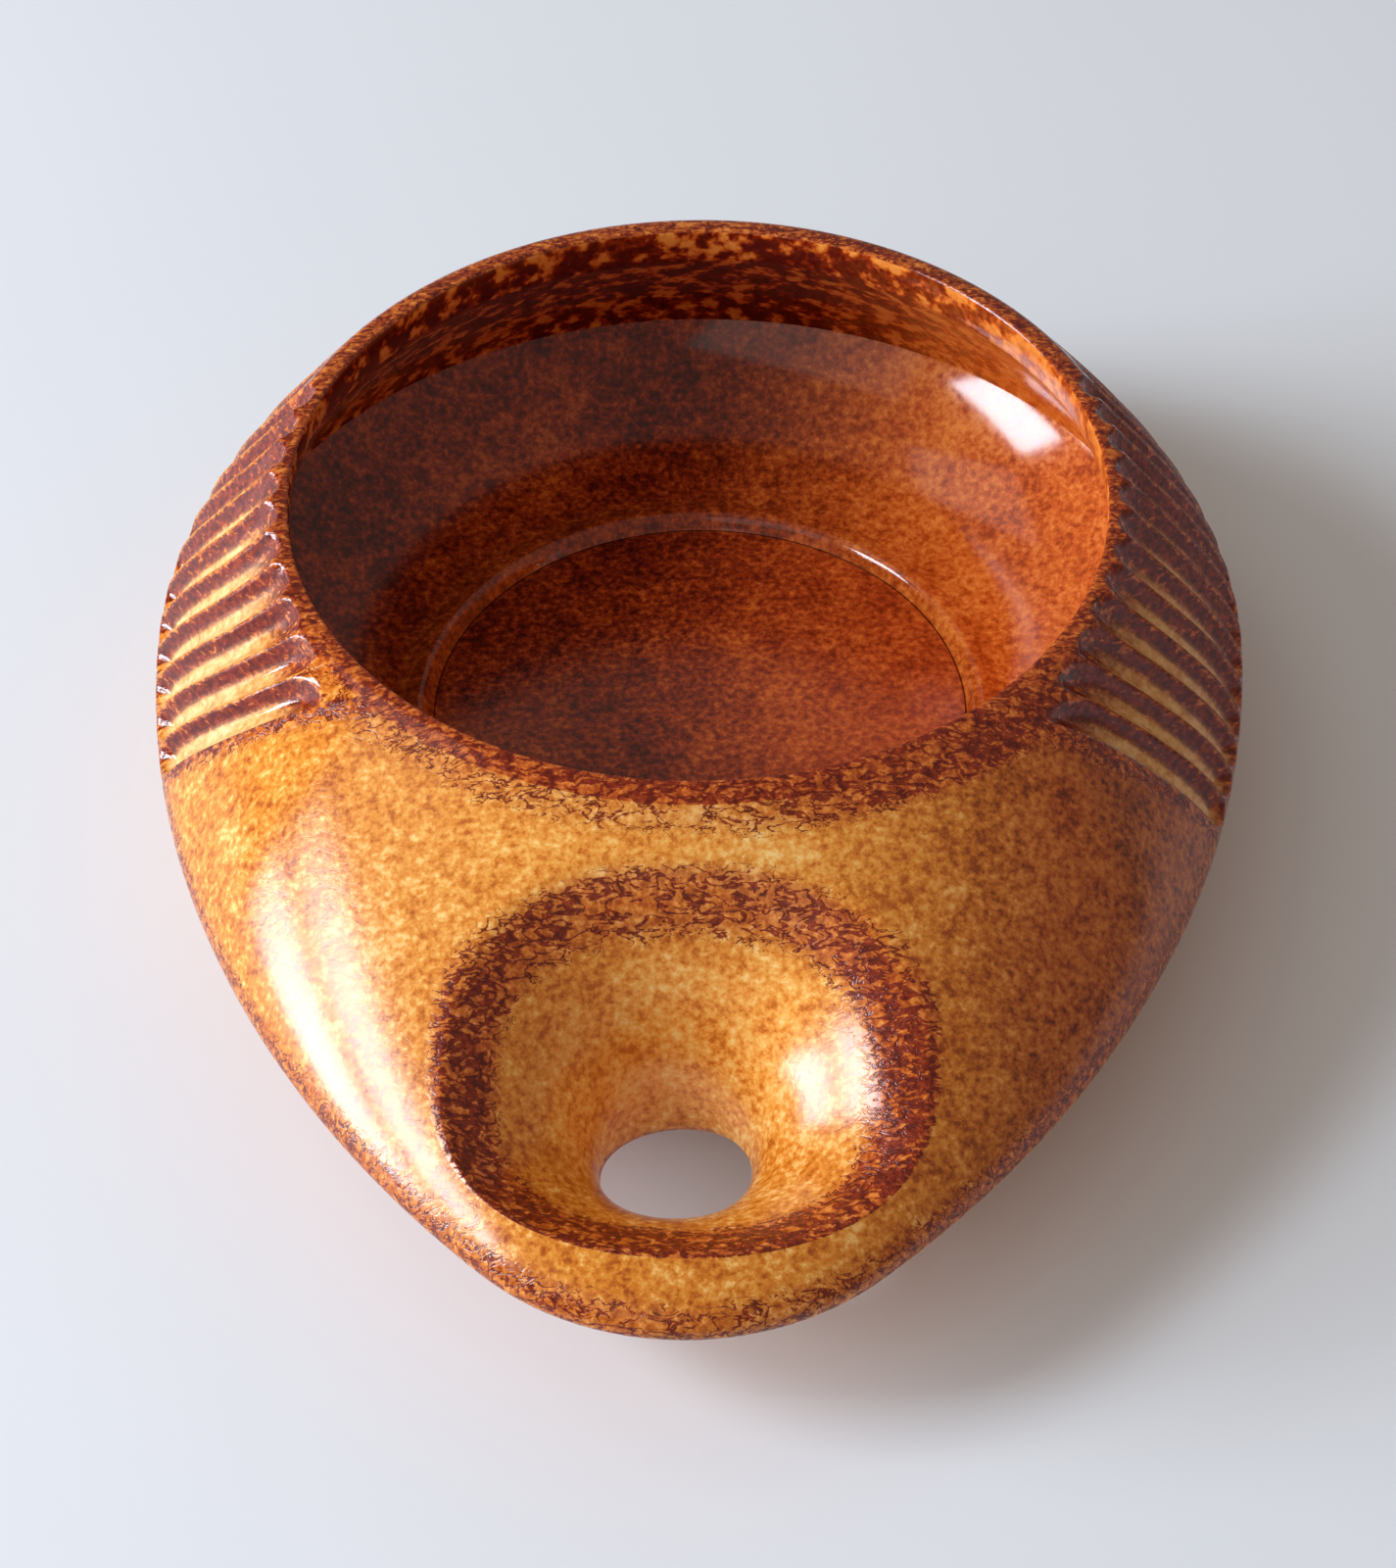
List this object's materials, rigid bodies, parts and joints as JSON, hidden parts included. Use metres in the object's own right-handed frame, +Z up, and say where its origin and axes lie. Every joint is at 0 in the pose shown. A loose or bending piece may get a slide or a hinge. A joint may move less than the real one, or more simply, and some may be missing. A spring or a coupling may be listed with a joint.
{
  "type": "glazed stoneware bowl with finger lug",
  "caption": "Low glazed stoneware bowl with a wide undercut opening, fluted sides and a broad sloping lug that ends in a dished through finger hole.",
  "frame": {"origin": "centre of the bounding box in plan, on the surface that the bowl stands on", "axes": "+Z up, -Y towards the tip of the lug, X across the fluted sides"},
  "size_m": [0.164, 0.2148, 0.052],
  "materials": {
    "amber_glaze": "glossy mottled amber glaze that breaks dark red-brown on edges",
    "red_brown_glaze": "glossy mottled red-brown glaze",
    "bare_clay": "matte unglazed stoneware"
  },
  "bodies": {
    "root": {"upper_shell": "amber_glaze", "lower_shell": "amber_glaze", "finger_funnel": "amber_glaze", "rim_lip": "amber_glaze", "floor_disc": "red_brown_glaze", "foot_ring": "bare_clay"}
  },
  "joints": []
}
